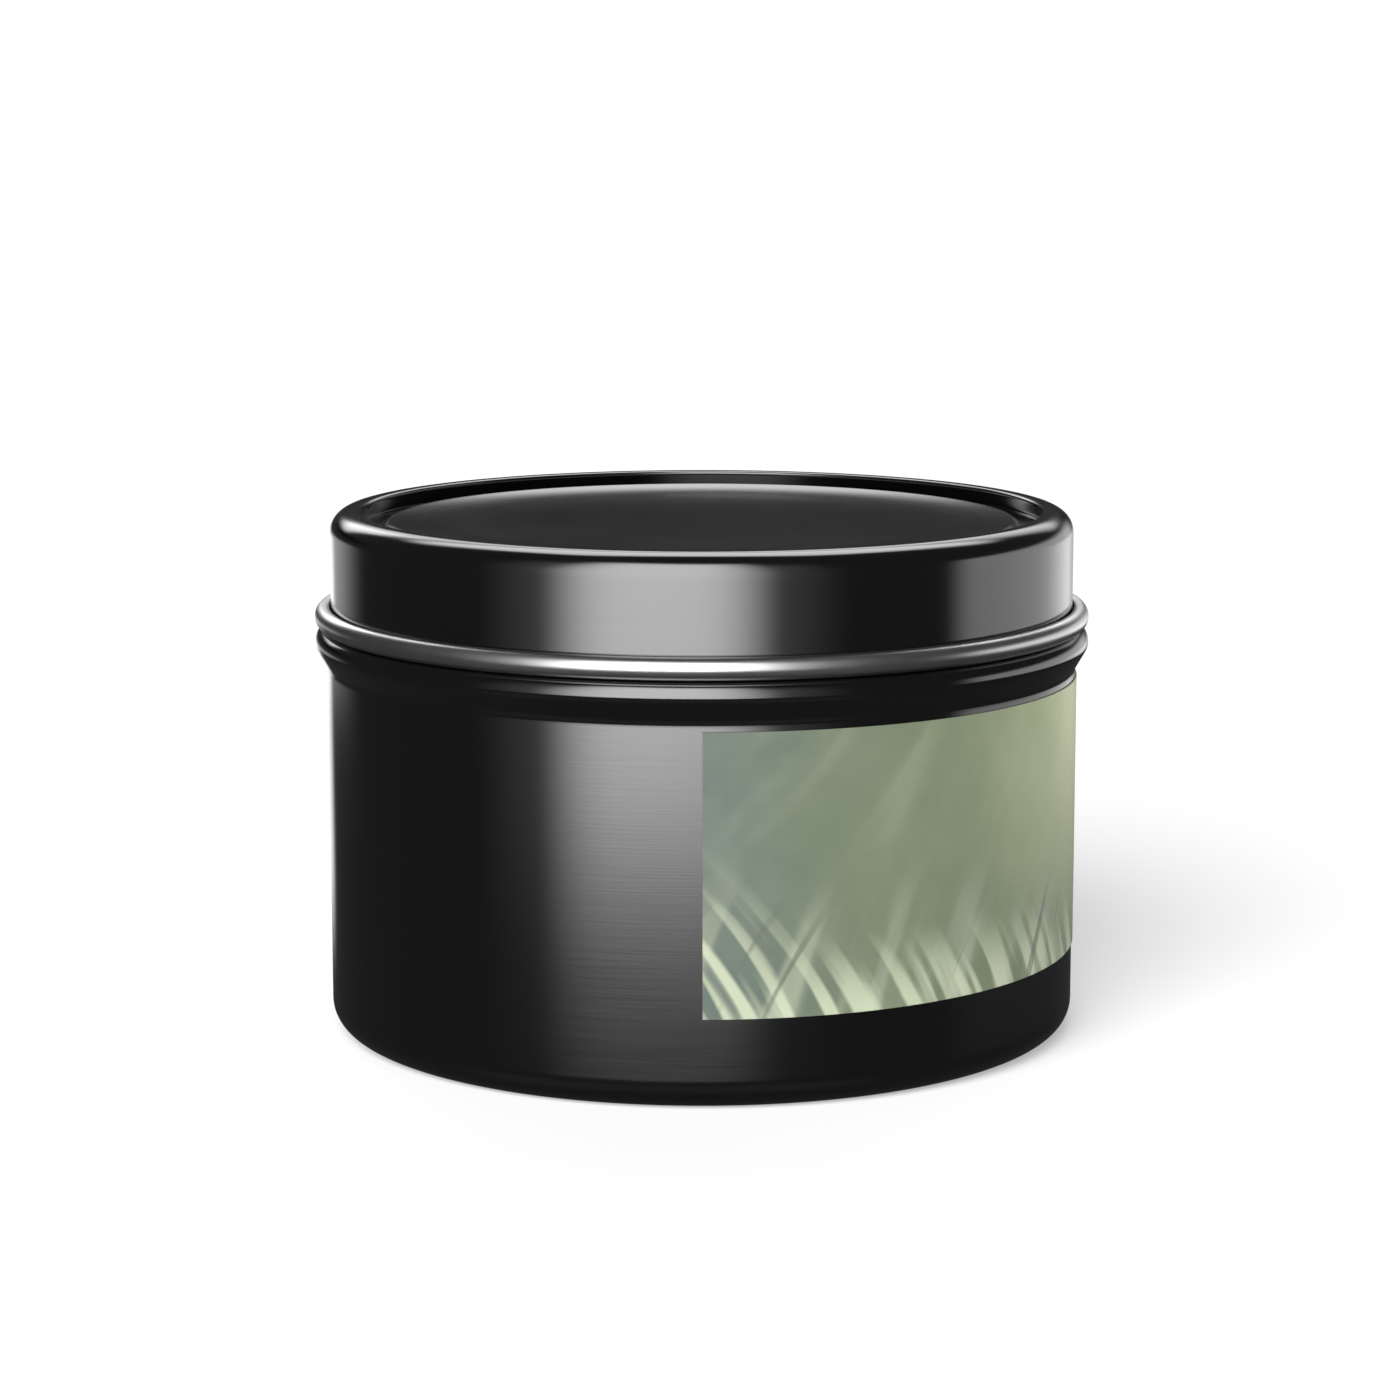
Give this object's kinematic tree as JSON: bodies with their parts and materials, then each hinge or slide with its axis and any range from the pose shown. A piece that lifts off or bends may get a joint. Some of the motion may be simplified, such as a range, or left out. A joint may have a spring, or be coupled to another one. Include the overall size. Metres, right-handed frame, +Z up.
{
  "type": "candle tin",
  "caption": "Round seamless slip-lid tin with a poured candle: drawn can with a rolled bead, lid with a rolled hem, wax, wick and a wrap-round label.",
  "frame": {"origin": "centre of the base, on the surface the tin stands on", "axes": "+Z up along the tin's axis; -Y towards the middle of the front label"},
  "size_m": [0.0816, 0.0816, 0.055],
  "materials": {
    "black_coat": "satin black coating on tinplate, finely brushed round the tin",
    "bare_tin": "uncoated bright tinplate",
    "printed_label": "matt printed self-adhesive label, misty grey green",
    "plain_paper": "plain uncoated label",
    "soy_wax": "smooth creamy wax",
    "cotton": "braided waxed cotton",
    "tab_steel": "zinc-plated pressed steel",
    "foam": "white adhesive foam"
  },
  "bodies": {
    "root": {"can": "black_coat", "front_label": "printed_label", "base_label": "plain_paper", "wax": "soy_wax", "wick": "cotton", "wick_tab": "tab_steel", "wick_sticker": "foam"},
    "lid": {"lid": "black_coat"}
  },
  "joints": [
    {"name": "lid_lift", "type": "slide", "parent": "root", "child": "lid", "axis": [0, 0, 1], "range_m": [0, 0.03]}
  ]
}
